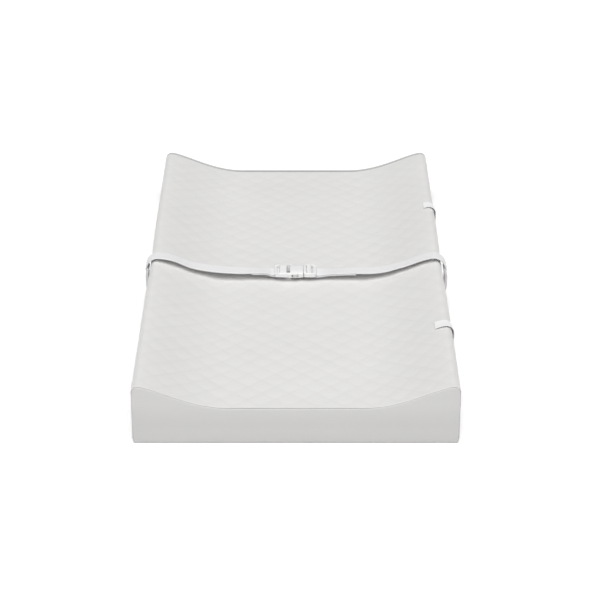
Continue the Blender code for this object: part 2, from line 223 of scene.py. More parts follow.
# ---- the labels ----------------------------------------------------------------------
LABEL_WIDTH = 0.022
LABEL_THICKNESS = 0.0006
LABEL_REACH = {"front_label": 0.023, "rear_label": 0.016}
LABEL_FOOT = 0.040
LABEL_LIFT = 0.0017         # how far the near edge of a label stands off
LIFT_END = 1.15             # its free end is level again
LABEL_CLEARANCE = 0.0005
LABEL_STITCH_INSET = (0.003, 0.002)     # from its top end, and from its sides

# ---- stitches ------------------------------------------------------------------------
THREAD_RADIUS = 0.0003
STITCH_PITCH = 0.0024
STITCH_LENGTH = 0.0019
THREAD_SIDES = 6

# ---- camera and light ----------------------------------------------------------------
CAMERA_PLACE = (0.0, -2.7091, 1.3339)
CAMERA_PITCH = math.radians(26.25)
CAMERA_LENS = 119.18
CAMERA_SHIFT = 0.0165
CAMERA_SENSOR = 36.0
FLOOR_SIZE = 30.0
KEY_ELEVATION = math.radians(63)
KEY_STRENGTH = 3.3
KEY_SPREAD = math.radians(64)
SKY_STRENGTH = 0.14
FLOOR_GLOW = 0.12


# ---- node helpers --------------------------------------------------------------------
class Paint:
    """A material's node tree, with short calls for the nodes used here."""

    def __init__(self, name, colour, roughness):
        self.material = bpy.data.materials.new(name)
        self.material.use_nodes = True
        self.tree = self.material.node_tree
        self.shader = self.tree.nodes["Principled BSDF"]
        self.shader.inputs["Base Color"].default_value = (*colour, 1.0)
        self.shader.inputs["Roughness"].default_value = roughness
        self.material.diffuse_color = (*colour, 1.0)

    def add(self, kind, inputs=None, **settings):
        made = self.tree.nodes.new(kind)
        for key, value in settings.items():
            setattr(made, key, value)
        for key, value in (inputs or {}).items():
            self.feed(made.inputs[key], value)
        return made

    def feed(self, socket, value):
        if isinstance(value, bpy.types.NodeSocket):
            self.tree.links.new(value, socket)
        else:
            socket.default_value = value

    def math(self, operation, first, second=0.0, third=0.0):
        made = self.add("ShaderNodeMath", {0: first, 1: second, 2: third}, operation=operation)
        return made.outputs[0]

    def place(self):
        """Object coordinates, which are the row frame's metres."""
        return self.add("ShaderNodeTexCoord").outputs["Object"]

    def fabric_uv(self):
        """The two fabric coordinates of a piece, in metres."""
        uv = self.add("ShaderNodeUVMap", uv_map="fabric").outputs[0]
        split = self.add("ShaderNodeSeparateXYZ", {0: uv})
        return split.outputs["X"], split.outputs["Y"]

    def noise(self, scale, detail=2.0, roughness=0.5, where=None):
        made = self.add("ShaderNodeTexNoise", {
            "Vector": where or self.place(), "Scale": scale, "Detail": detail,
            "Roughness": roughness})
        return made.outputs[0]

    def cells(self, scale, smoothness=0.6):
        made = self.add("ShaderNodeTexVoronoi", {
            "Vector": self.place(), "Scale": scale, "Smoothness": smoothness},
            feature="SMOOTH_F1")
        return made.outputs["Distance"]

    def between(self, factor, low, high, from_low=0.0, from_high=1.0):
        made = self.add("ShaderNodeMapRange", {
            "Value": factor, "From Min": from_low, "From Max": from_high,
            "To Min": low, "To Max": high})
        return made.outputs[0]

    def tint(self, factor, colour_a, colour_b):
        made = self.add("ShaderNodeMix", data_type="RGBA")
        self.feed(made.inputs[0], factor)
        self.feed(made.inputs[6], (*colour_a, 1.0))
        self.feed(made.inputs[7], (*colour_b, 1.0))
        return made.outputs[2]

    def shaded(self, colour, factor, shade):
        """A colour multiplied by a shade, where the factor is 1."""
        made = self.add("ShaderNodeMix", data_type="RGBA", blend_type="MULTIPLY")
        self.feed(made.inputs[0], factor)
        self.feed(made.inputs[6], colour)
        self.feed(made.inputs[7], (*shade, 1.0))
        return made.outputs[2]

    def bump(self, height, distance, strength=1.0, under=None):
        made = self.add("ShaderNodeBump", {
            "Height": height, "Distance": distance, "Strength": strength})
        if under is not None:
            self.feed(made.inputs["Normal"], under)
        return made.outputs[0]

    def finish(self, colour=None, roughness=None, normal=None):
        for key, value in (("Base Color", colour), ("Roughness", roughness), ("Normal", normal)):
            if value is not None:
                self.feed(self.shader.inputs[key], value)
        return self.material


def vinyl_grain(paint):
    """Fine leather grain over soft handling creases."""
    creases = paint.bump(paint.noise(55, 3, 0.55), 0.0004, 0.4)
    return paint.bump(paint.cells(900), 0.0001, 0.3, creases)


def painted_seam_shade(paint, colour):
    """The colour, darker where the sheet turns in to a seam: painted shade for the seam's groove.
    """
    into = paint.add("ShaderNodeAttribute", attribute_name="seam").outputs["Fac"]
    return paint.shaded(colour, into, (0.35, 0.35, 0.345))


def quilt_lines(paint):
    """1 on each stitch of the quilting, 0 elsewhere."""
    u, v = paint.fabric_uv()
    across = paint.math("MULTIPLY_ADD", u, 1 / DIAMOND_ACROSS, -QUILT_CENTRE[0] / DIAMOND_ACROSS)
    along = paint.math("MULTIPLY_ADD", v, 1 / DIAMOND_ALONG, -QUILT_CENTRE[1] / DIAMOND_ALONG)
    rising = paint.math("ADD", across, along)
    falling = paint.math("SUBTRACT", across, along)
    lines = []
    for line, other in ((rising, falling), (falling, rising)):
        off = paint.math("ABSOLUTE", paint.math("SUBTRACT", paint.math("FRACT", line), 0.5))
        near = paint.between(off, 1.0, 0.0, 0.008, 0.018)
        beat = paint.math("FRACT", paint.math("MULTIPLY", other, STITCHES_PER_SIDE))
        held = paint.math("ABSOLUTE", paint.math("SUBTRACT", beat, 0.5))
        dash = paint.between(held, 1.0, 0.0, 0.34, 0.46)
        lines.append(paint.math("MULTIPLY", near, dash))
    return paint.math("MAXIMUM", *lines)


def quilted_vinyl():
    paint = Paint("quilted_vinyl", (0.76, 0.755, 0.745), 0.42)
    stitch = quilt_lines(paint)
    cloudy = paint.tint(paint.noise(9, 3), (0.745, 0.740, 0.730), (0.775, 0.771, 0.762))
    puff = paint.add("ShaderNodeAttribute", attribute_name="puff").outputs["Fac"]
    # painted shade: the colour a little darker in the quilting's low valleys
    painted_shade = paint.shaded(cloudy, paint.between(puff, 0.2, 0.0, 0.0, 0.4), (0.93, 0.925, 0.91))
    gloss = paint.math("ADD", paint.between(paint.noise(160, 2), 0.36, 0.50),
                       paint.math("MULTIPLY", stitch, 0.15))
    normal = paint.bump(stitch, 0.0003, 0.6, vinyl_grain(paint))
    return paint.finish(painted_seam_shade(paint, painted_shade), gloss, normal)


def plain_vinyl():
    """The end panels' vinyl: the top's white vinyl set darker as painted shade for the end faces,
    with more painted shade towards its lower edge and a painted shadow line along the bottom.
    """
    # painted shade: the same white vinyl as the top, its colour set darker for the end faces
    paint = Paint("plain_vinyl", (0.543, 0.540, 0.534), 0.42)
    cloudy = paint.tint(paint.noise(9, 3), (0.535, 0.531, 0.525), (0.557, 0.554, 0.549))
    height = paint.add("ShaderNodeSeparateXYZ", {0: paint.place()}).outputs["Z"]
    # painted shade: darker towards the floor, and a painted shadow line along the bottom edge
    painted_shade = paint.math("MAXIMUM", paint.between(height, 0.5, 0.0, 0.0, 0.055),
                      paint.between(height, 1.0, 0.0, 0.0008, 0.0028))
    foot_shaded_colour = paint.shaded(cloudy, painted_shade, (0.66, 0.66, 0.66))
    gloss = paint.between(paint.noise(160, 2), 0.38, 0.52)
    return paint.finish(painted_seam_shade(paint, foot_shaded_colour), gloss, vinyl_grain(paint))


def base_vinyl():
    paint = Paint("base_vinyl", (0.62, 0.62, 0.61), 0.7)
    cloudy = paint.tint(paint.noise(14, 4), (0.60, 0.60, 0.59), (0.64, 0.64, 0.63))
    gloss = paint.between(paint.noise(90, 2), 0.62, 0.78)
    normal = paint.bump(paint.cells(1400), 0.0001, 0.5)
    return paint.finish(cloudy, gloss, normal)


def soft_fill(name, colour_a, colour_b, scale):
    """Open foam or matted fibre."""
    paint = Paint(name, colour_a, 0.95)
    colour = paint.tint(paint.noise(scale, 5, 0.7), colour_a, colour_b)
    normal = paint.bump(paint.cells(scale * 3, 0.2), 0.0006, 0.8)
    return paint.finish(colour, None, normal)


def webbing():
    """Polyester webbing: rows of small grains, brick fashion, with a plain selvedge, its colour
    darkened along the edges as painted shade.
    """
    paint = Paint("webbing", (0.82, 0.82, 0.83), 0.62)
    u, v = paint.fabric_uv()
    row = paint.math("MULTIPLY", v, 1 / 0.00104)
    shifted = paint.math("MULTIPLY", paint.math("FLOOR", row), 0.5)
    grain = paint.math("ADD", paint.math("MULTIPLY", u, 1 / 0.0016), shifted)
    across = paint.math("ABSOLUTE", paint.math("SINE", paint.math("MULTIPLY", row, math.pi)))
    along = paint.math("ABSOLUTE", paint.math("SINE", paint.math("MULTIPLY", grain, math.pi)))
    weave = paint.math("MULTIPLY", across, along)
    fibre = paint.noise(2600, 2)
    woven = paint.tint(weave, (0.785, 0.782, 0.790), (0.900, 0.896, 0.905))
    # painted shade: the colour darker near the webbing's edges
    selvedge = paint.between(paint.math("ABSOLUTE", v), 0.0, 1.0, WEBBING_WIDTH / 2 - 0.0010,
                             WEBBING_WIDTH / 2 - 0.0002)
    colour = paint.shaded(woven, selvedge, (0.74, 0.74, 0.74))
    gloss = paint.between(fibre, 0.52, 0.72)
    normal = paint.bump(weave, 0.00022, 0.6, paint.bump(fibre, 0.00005, 0.5))
    paint.shader.inputs["Sheen Weight"].default_value = 0.15
    return paint.finish(colour, gloss, normal)


def thread():
    paint = Paint("thread", (0.84, 0.84, 0.84), 0.55)
    colour = paint.tint(paint.noise(1500, 2), (0.78, 0.78, 0.78), (0.88, 0.88, 0.88))
    return paint.finish(colour, None, paint.bump(paint.noise(4200, 1), 0.00006, 0.7))


def buckle_plastic():
    paint = Paint("buckle_plastic", (0.82, 0.82, 0.815), 0.34)
    colour = paint.tint(paint.noise(45, 3), (0.805, 0.805, 0.80), (0.835, 0.835, 0.83))
    gloss = paint.between(paint.noise(320, 3), 0.28, 0.42)
    normal = paint.bump(paint.noise(3800, 1), 0.00003, 0.4)
    return paint.finish(colour, gloss, normal)


def label_satin():
    paint = Paint("label_satin", (0.88, 0.88, 0.88), 0.40)
    u = paint.fabric_uv()[0]
    ribs = paint.math("ABSOLUTE", paint.math("SINE", paint.math("MULTIPLY", u, math.pi / 0.0005)))
    colour = paint.tint(paint.noise(70, 3), (0.90, 0.90, 0.905), (0.94, 0.94, 0.94))
    gloss = paint.between(ribs, 0.34, 0.48)
    paint.shader.inputs["Sheen Weight"].default_value = 0.2
    return paint.finish(colour, gloss, paint.bump(ribs, 0.00006, 0.5))


def floor_paper():
    paint = Paint("floor_paper", (0.94, 0.94, 0.94), 0.9)
    paint.shader.inputs["Specular IOR Level"].default_value = 0.0
    paint.shader.inputs["Emission Color"].default_value = (1.0, 1.0, 1.0, 1.0)
    paint.shader.inputs["Emission Strength"].default_value = FLOOR_GLOW
    return paint.finish(paint.tint(paint.noise(0.8, 2), (0.93, 0.93, 0.93), (0.95, 0.95, 0.95)))


LOOKS = {
    "quilted_vinyl": quilted_vinyl(),
    "plain_vinyl": plain_vinyl(),
    "base_vinyl": base_vinyl(),
    "foam": soft_fill("foam", (0.80, 0.70, 0.40), (0.86, 0.78, 0.50), 420),
    "wadding": soft_fill("wadding", (0.80, 0.80, 0.80), (0.88, 0.88, 0.88), 700),
    "webbing": webbing(),
    "thread": thread(),
    "buckle_plastic": buckle_plastic(),
    "label_satin": label_satin(),
}


# ---- mesh helpers --------------------------------------------------------------------
def outward_mesh(name, verts, faces):
    """A mesh with its faces turned outward."""
    mesh = bpy.data.meshes.new(name)
    mesh.from_pydata([tuple(place) for place in verts], [], faces)
    mesh.update()
    bm = bmesh.new()
    bm.from_mesh(mesh)
    bmesh.ops.recalc_face_normals(bm, faces=bm.faces)
    bm.to_mesh(mesh)
    bm.free()
    return mesh


def ring_faces(count, rings, first=0, closed=True):
    """Faces that join rings of count points, numbered from first, and cap closed ones."""
    faces = []
    span = count if closed else count - 1
    for k in range(rings - 1):
        near = first + k * count
        far = near + count
        for i in range(span):
            j = (i + 1) % count
            faces.append((near + i, far + i, far + j, near + j))
    if closed:
        last = first + (rings - 1) * count
        faces.append(tuple(range(first, first + count)))
        faces.append(tuple(reversed(range(last, last + count))))
    return faces


def add_piece(name, mesh, slot, body="pad", replaced=()):
    """Puts a mesh in the scene as a piece of the object, with its slot's material."""
    mesh.name = name
    mesh.materials.clear()
    mesh.materials.append(LOOKS[slot])
    piece = bpy.data.objects.new(name, mesh)
    bpy.context.scene.collection.objects.link(piece)
    if replaced:
        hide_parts(*replaced)
    if body:
        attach(piece, body)
    return piece


def baked(mesh, *modifiers):
    """The mesh with modifiers applied: each is (kind, {setting: value})."""
    holder = bpy.data.objects.new("holder", mesh)
    bpy.context.scene.collection.objects.link(holder)
    for kind, settings in modifiers:
        made = holder.modifiers.new(kind, kind)
        for key, value in settings.items():
            setattr(made, key, value)
    graph = bpy.context.evaluated_depsgraph_get()
    done = bpy.data.meshes.new_from_object(holder.evaluated_get(graph))
    bpy.data.objects.remove(holder)
    bpy.data.meshes.remove(mesh)
    return done


def points_of(mesh):
    flat = np.zeros(len(mesh.vertices) * 3, np.float32)
    mesh.vertices.foreach_get("co", flat)
    return flat.reshape(-1, 3).astype(float)


def set_points(mesh, points):
    mesh.vertices.foreach_set("co", np.asarray(points, np.float32).ravel())
    mesh.update()


def set_uv(mesh, uv):
    """A UV map called fabric, from one (u, v) for each vertex, in metres."""
    layer = mesh.uv_layers.get("fabric") or mesh.uv_layers.new(name="fabric")
    corner = np.zeros(len(mesh.loops), np.int32)
    mesh.loops.foreach_get("vertex_index", corner)
    layer.data.foreach_set("uv", np.asarray(uv, np.float32)[corner].ravel())


def smoothstep(value, low, high):
    t = np.clip((value - low) / (high - low), 0.0, 1.0)
    return t * t * (3 - 2 * t)


def inflated(mesh, pinned, pressure, height):
    """The mesh's points after a cloth simulation that blows it up between its pinned points.

    The shape it takes is scaled so that its fullest parts rise to the given height."""
    rest = points_of(mesh)
    holder = bpy.data.objects.new("cloth", mesh)
    bpy.context.scene.collection.objects.link(holder)
    group = holder.vertex_groups.new(name="pinned")
    group.add([int(i) for i in np.flatnonzero(pinned)], 1.0, "REPLACE")
    cloth = holder.modifiers.new("cloth", "CLOTH")
    cloth.settings.vertex_group_mass = "pinned"
    cloth.settings.use_pressure = True
    cloth.settings.uniform_pressure_force = pressure
    cloth.settings.effector_weights.gravity = 0.0
    cloth.point_cache.frame_start = 1
    cloth.point_cache.frame_end = SIM_FRAMES
    scene = bpy.context.scene
    for step in range(1, SIM_FRAMES + 1):
        scene.frame_set(step)
    graph = bpy.context.evaluated_depsgraph_get()
    blown = points_of(holder.evaluated_get(graph).data)
    scene.frame_set(1)
    bpy.data.objects.remove(holder)
    move = blown - rest
    fullest = float(np.percentile(np.abs(move[:, 2]), 99))
    print("inflated:", len(rest), "points, full height", round(fullest * 1000, 2), "mm")
    return rest + move * (height / max(fullest, 1e-6))


# ---- the pad's section ---------------------------------------------------------------
def arc(centre_x, centre_z, radius, start, end, steps):
    """Points along an arc in the XZ plane, angles in radians, both ends included."""
    angles = np.linspace(start, end, steps + 1)
    return np.column_stack((centre_x + radius * np.cos(angles),
                            centre_z + radius * np.sin(angles)))


def surface_height(inboard):
    """Height of the top surface at a distance from the side wall."""
    t = np.clip((inboard - SLOPE_START) / (SLOPE_END - SLOPE_START), 0.0, 1.0) ** SLOPE_POWER
    return RIM_HEIGHT - HOLLOW_DEPTH * t * t * (3 - 2 * t)


def half_section():
    """The outer line of the right half, from the sewn foot of the wall to the middle."""
    foot_x = PAD_WIDTH / 2 - WALL_TAPER - FOOT_RADIUS
    foot_z = BASE_TOP + GAP + FOOT_RADIUS
    foot = arc(foot_x, foot_z, FOOT_RADIUS, WALL_SEAM_ANGLE, 0.0, 12)
    wall_foot = foot[-1]
    rim = arc(PAD_WIDTH / 2 - RIM_RADIUS, RIM_HEIGHT - RIM_RADIUS, RIM_RADIUS, 0.0,
              math.pi / 2, 24)
    wall = wall_foot + (rim[0] - wall_foot) * np.linspace(0, 1, 60)[1:-1, None]
    inboard = np.linspace(RIM_RADIUS, PAD_WIDTH / 2, 400)[1:]
    top = np.column_stack((PAD_WIDTH / 2 - inboard, surface_height(inboard)))
    return np.vstack((foot, wall, rim, top))


class Section:
    """The pad's outer line by distance u along it from the middle, positive to the right."""

    def __init__(self):
        right = half_section()[::-1]
        left = right[::-1] * (-1, 1)
        line = np.vstack((left[:-1], right))
        step = np.linalg.norm(np.diff(line, axis=0), axis=1)
        self.u = np.concatenate(([0.0], np.cumsum(step)))
        self.reach = self.u[-1] / 2
        self.u -= self.reach
        self.line = line
        along = np.gradient(line, self.u, axis=0)
        along /= np.linalg.norm(along, axis=1, keepdims=True)
        self.normal = np.column_stack((-along[:, 1], along[:, 0]))

    def at(self, u):
        """(points, outward normals) in XZ at distances u, clamped to the line's ends."""
        inside = np.clip(u, -self.reach, self.reach)
        point = np.column_stack([np.interp(inside, self.u, self.line[:, k]) for k in (0, 1)])
        normal = np.column_stack([np.interp(inside, self.u, self.normal[:, k]) for k in (0, 1)])
        normal /= np.linalg.norm(normal, axis=1, keepdims=True)
        return point, normal


section = Section()


def settled(points):
    """Points on the pad moved as the soft pad lies: swollen in the hollow, drawn in at the belt."""
    x, y, z = np.asarray(points, float).T
    swell = HOLLOW_CROWN * (1 - smoothstep(np.abs(x), *CROWN_ACROSS))
    swell = swell * (1 - smoothstep(np.abs(y), *CROWN_ALONG)) * smoothstep(z, *CROWN_ABOVE)
    pinch = WAIST_PINCH * np.exp(-((y - BELT_Y) / WAIST_REACH) ** 2)
    pinch = pinch * smoothstep(np.abs(x), *PINCH_ACROSS) * smoothstep(z, *PINCH_ABOVE)
    return np.column_stack((x - np.sign(x) * pinch, y, z + swell))


def turned_in(distance):
    """(forward, inward) of a point some distance past where a sewn edge starts to turn in."""
    turn = np.clip(distance / LIP_RADIUS, 0.0, LIP_ANGLE)
    tail = np.maximum(distance - LIP_RADIUS * LIP_ANGLE, 0.0)
    forward = LIP_RADIUS * np.sin(turn) + tail * math.cos(LIP_ANGLE)
    inward = LIP_RADIUS * (1 - np.cos(turn)) + tail * math.sin(LIP_ANGLE)
    return forward, inward


LIP_LENGTH = LIP_RADIUS * LIP_ANGLE + LIP_TAIL


def mark_seam(mesh, past, x):
    """An attribute called seam, 1 where a point is past the edge that turns in, which sets the
    painted seam shade.
    """
    into = mesh.attributes.new("seam", "FLOAT", "POINT")
    share = smoothstep(np.asarray(past, float), 0.0, LIP_RADIUS * LIP_ANGLE)
    share = share * (1 - (1 - RIM_SEAM_SHOWS) * on_rims(x))
    into.data.foreach_set("value", share.astype(np.float32))


def top_end(seam):
    """How far along the fabric the top panel starts to turn in at an end seam."""
    return HALF_LENGTH - EDGE_ROLL + EDGE_ROLL * seam - LIP_RADIUS - SEAM_GAP[seam] / 2


def on_rims(x):
    """1 on the slopes and the rims, 0 in the hollow and on the side walls."""
    x = np.abs(x)
    return smoothstep(x, *RIM_START) * (1 - smoothstep(x, *RIM_END))


def drawn_tight(x, seam):
    """How far a sewn edge is drawn over its groove."""
    return (SEAM_GAP[seam] - SLOPE_SEAM_GAP) / 2 * on_rims(x)


def over_end(v, seam):
    """(distance along the pad, inset) of the top panel at fabric distance v from the middle."""
    flat = HALF_LENGTH - EDGE_ROLL
    last = max((top_end(seam) - flat) / EDGE_ROLL, 0.0)
    angle = np.clip((v - flat) / EDGE_ROLL, 0.0, last)
    y = np.minimum(v, min(flat, top_end(seam))) + EDGE_ROLL * np.sin(angle)
    inset = EDGE_ROLL * (1 - np.cos(angle))
    forward, inward = turned_in(np.maximum(v - top_end(seam), 0.0))
    y += forward * math.cos(last) - inward * math.sin(last)
    inset += forward * math.sin(last) + inward * math.cos(last)
    return y, inset


def fabric_noise(points, scale, seed):
    """Smooth noise, about -1 to 1, at a list of points."""
    shift = Vector((seed * 7.31, seed * 3.17, seed * 1.73))
    return np.array([noise.noise(Vector(p) * scale + shift) for p in points])


# ---- the top panel -------------------------------------------------------------------
def quilt_phase(u, v):
    """The two numbers that are whole in the middle of a diamond and a half on its lines."""
    across = (u - QUILT_CENTRE[0]) / DIAMOND_ACROSS
    along = (v - QUILT_CENTRE[1]) / DIAMOND_ALONG
    return across + along, across - along


def on_quilt_line(u, v):
    rising, falling = quilt_phase(u, v)
    off = [np.abs(phase - np.floor(phase) - 0.5) for phase in (rising, falling)]
    return np.minimum(*off) < 1e-3


def flat_quilt(low, high):
    """A flat sheet between two (u, v) corners, meshed along both families of quilting lines."""
    bm = bmesh.new()
    made = {}
    step = 1 / QUILT_STEPS

    def spot(i, j):
        u = QUILT_CENTRE[0] + DIAMOND_ACROSS * (i + j) * step / 2
        v = QUILT_CENTRE[1] + DIAMOND_ALONG * (i - j) * step / 2
        return u, v

    def vertex(i, j):
        if (i, j) not in made:
            made[i, j] = bm.verts.new((*spot(i, j), 0.0))
        return made[i, j]

    reach = int(QUILT_STEPS * ((high[0] - low[0]) / DIAMOND_ACROSS
                               + (high[1] - low[1]) / DIAMOND_ALONG) / 2) + 2 * QUILT_STEPS
    margin = DIAMOND_ACROSS * step
    for i in range(-reach, reach):
        for j in range(-reach, reach):
            u, v = spot(i + 0.5, j + 0.5)
            if low[0] - margin < u < high[0] + margin and low[1] - margin < v < high[1] + margin:
                bm.faces.new([vertex(i, j), vertex(i + 1, j), vertex(i + 1, j + 1),
                              vertex(i, j + 1)])
    for k, axis in enumerate(((1, 0, 0), (0, 1, 0))):
        for place, sign in ((high[k], 1), (low[k], -1)):
            cut_flat(bm, axis, place, sign)
    bmesh.ops.recalc_face_normals(bm, faces=bm.faces)
    if sum(face.normal.z for face in bm.faces) < 0:
        bmesh.ops.reverse_faces(bm, faces=bm.faces)
    return bm


def cut_flat(bm, axis, place, clear=0):
    """Cuts a flat mesh at a place along an axis, and with clear drops what is past it."""
    axis = Vector(axis)
    bmesh.ops.bisect_plane(
        bm, geom=bm.verts[:] + bm.edges[:] + bm.faces[:], dist=1e-6,
        plane_co=axis * place, plane_no=axis * (clear or 1), clear_outer=bool(clear))


def build_top_cover():
    """Quilts the panel flat, inflates it, and lays it over the section."""
    wall_end = section.reach
    edge = wall_end + LIP_LENGTH
    low = (-edge, -top_end(FRONT_SEAM) - LIP_LENGTH)
    high = (edge, top_end(REAR_SEAM) + LIP_LENGTH)
    bm = flat_quilt(low, high)
    creases = bm.edges.layers.float.new("crease_edge")
    for side in bm.edges:
        middle = (side.verts[0].co + side.verts[1].co) / 2
        if on_quilt_line(middle.x, middle.y):
            side[creases] = QUILT_CREASE
    mesh = bpy.data.meshes.new("quilt")
    bm.to_mesh(mesh)
    bm.free()

    flat = points_of(mesh)
    u, v = flat[:, 0], flat[:, 1]
    border = (np.abs(u) > wall_end) | (v > top_end(REAR_SEAM)) | (v < -top_end(FRONT_SEAM))
    pinned = on_quilt_line(u, v) | border
    flat = inflated(mesh.copy(), pinned, QUILT_PRESSURE, QUILT_PUFF)
    fade = 1 - smoothstep(np.abs(u), wall_end - WALL_FADE, wall_end)
    for side, seam in ((v, REAR_SEAM), (-v, FRONT_SEAM)):
        fade *= 1 - smoothstep(side, top_end(seam) - QUILT_MARGIN, top_end(seam) - QUILT_FLAT)
    flat[:, 2] = (flat[:, 2] - QUILT_SINK) * fade
    set_points(mesh, flat)
    mesh = baked(mesh, ("SUBSURF", {"levels": 1, "render_levels": 1}))

    # extra rows, so that the end rolls and the turned-in edges come out round
    bm = bmesh.new()
    bm.from_mesh(mesh)
    for seam, sign in ((FRONT_SEAM, -1), (REAR_SEAM, 1)):
        start = HALF_LENGTH - EDGE_ROLL
        end = top_end(seam)
        rows = list(np.linspace(start, end, 4)) if end - start > LIP_RADIUS else [end]
        rows += [end - 0.0015, end - 0.004]
        rows += [end + LIP_RADIUS * LIP_ANGLE * share for share in LIP_SHARES]
        for row in rows:
            cut_flat(bm, (0, 1, 0), sign * row)
    for share in (0.0, *LIP_SHARES):
        for sign in (-1, 1):
            cut_flat(bm, (1, 0, 0), sign * (wall_end + LIP_RADIUS * LIP_ANGLE * share))
    bm.to_mesh(mesh)
    bm.free()

    flat = points_of(mesh)
    u, v, rise = flat.T
    spots = np.column_stack((u, v, 0 * u))
    lumps = sum(fabric_noise(spots, scale, seed) * height for scale, seed, height in LUMPS)
    fade = 1 - smoothstep(np.abs(v), HALF_LENGTH - LUMP_MARGIN, HALF_LENGTH - EDGE_ROLL)
    fade *= 1 - smoothstep(np.abs(u), wall_end - LUMP_MARGIN, wall_end)
    point, normal = section.at(u)
    y_rear, inset_rear = over_end(np.maximum(v, 0.0), REAR_SEAM)
    y_front, inset_front = over_end(np.maximum(-v, 0.0), FRONT_SEAM)
    inset = np.where(v > 0, inset_rear, inset_front)
    y_rear += drawn_tight(point[:, 0], REAR_SEAM) * smoothstep(v, top_end(REAR_SEAM) - 0.006,
                                                    top_end(REAR_SEAM))
    y_front += drawn_tight(point[:, 0], FRONT_SEAM) * smoothstep(-v, top_end(FRONT_SEAM) - 0.006,
                                                     top_end(FRONT_SEAM))
    forward, inward = turned_in(np.maximum(np.abs(u) - wall_end, 0.0))
    along = np.column_stack((normal[:, 1], -normal[:, 0])) * np.sign(u)[:, None]
    out = rise + lumps * fade - inset - inward
    place = point + normal * out[:, None] + along * forward[:, None]
    laid = np.column_stack((place[:, 0], np.where(v > 0, y_rear, -y_front), place[:, 1]))
    set_points(mesh, settled(laid))
    set_uv(mesh, flat[:, :2])
    puff = mesh.attributes.new("puff", "FLOAT", "POINT")
    puff.data.foreach_set("value", ((rise + QUILT_SINK) / QUILT_PUFF).astype(np.float32))
    past = np.maximum(np.abs(u) - wall_end, np.maximum(v - top_end(REAR_SEAM),
                                                       -v - top_end(FRONT_SEAM)))
    mark_seam(mesh, past, point[:, 0])
    mesh = baked(mesh, ("SOLIDIFY", {"thickness": SHEET_THICKNESS, "offset": -1.0}))
    mesh.shade_smooth()
    cover = add_piece("quilted_top_cover", mesh, "quilted_vinyl", replaced=["top_cover"])
    return cover


# ---- the end panels ------------------------------------------------------------------
def closed_outline(spacing):
    """The end panel's outline: u over the section, then the straight bottom edge.

    Gives points, outward normals, and how much of each point belongs to the bottom edge."""
    steps = int(2 * section.reach / spacing)
    u = np.linspace(-section.reach, section.reach, steps + 1)
    point, normal = section.at(u)
    foot_x = PAD_WIDTH / 2 - WALL_TAPER - FOOT_RADIUS
    foot_z = BASE_TOP + GAP + FOOT_RADIUS
    turn = np.linspace(WALL_SEAM_ANGLE, -math.pi / 2, 4)[1:]
    right = np.column_stack((foot_x + FOOT_RADIUS * np.cos(turn),
                             foot_z + FOOT_RADIUS * np.sin(turn)))
    right_out = np.column_stack((np.cos(turn), np.sin(turn)))
    count = int(2 * foot_x / spacing)
    x = np.linspace(foot_x, -foot_x, count + 1)[1:-1]
    bottom = np.column_stack((x, np.full_like(x, BASE_TOP + GAP)))
    down = np.tile((0.0, -1.0), (len(x), 1))
    left = right[::-1] * (-1, 1)
    left_out = right_out[::-1] * (-1, 1)
    points = np.vstack((point, right, bottom, left))
    normals = np.vstack((normal, right_out, down, left_out))
    low = smoothstep(-normals[:, 1], 0.5, 1.0)
    return points, normals, low


def flat_panel(outline, spacing, margin):
    """Triangles that fill a closed outline, with a hexagonal net of points inside it."""
    count = len(outline)
    inner = []
    low, high = outline.min(0), outline.max(0)
    rows = int((high[1] - low[1]) / (spacing * 0.866)) + 1
    for j in range(rows):
        z = low[1] + margin + j * spacing * 0.866
        for x in np.arange(low[0] + (j % 2) * spacing / 2, high[0], spacing):
            if inside_by((x, z), outline, margin):
                inner.append((x, z))
    spots = [Vector(p) for p in outline] + [Vector(p) for p in inner]
    edges = [(i, (i + 1) % count) for i in range(count)]
    done = delaunay_2d_cdt(spots, edges, [], 1, 1e-7)
    return np.array([tuple(p) for p in done[0]]), [tuple(face) for face in done[2]]


def inside_by(spot, outline, margin):
    """Whether a spot is inside the outline and at least margin away from it."""
    a, b = outline, np.roll(outline, -1, axis=0)
    p = np.array(spot)
    side = b - a
    t = np.clip(((p - a) * side).sum(1) / (side ** 2).sum(1), 0, 1)
    if np.linalg.norm(a + side * t[:, None] - p, axis=1).min() < margin:
        return False
    crosses = (a[:, 1] > p[1]) != (b[:, 1] > p[1])
    with np.errstate(divide="ignore", invalid="ignore"):
        at = a[:, 0] + (p[1] - a[:, 1]) * side[:, 0] / side[:, 1]
    return bool(np.count_nonzero(crosses & (p[0] < at)) % 2)


def flare(height):
    """How far an end panel stands out at a height over the floor."""
    return FOOT_FLARE * (1 - smoothstep(height, 0.0, FLARE_TOP))


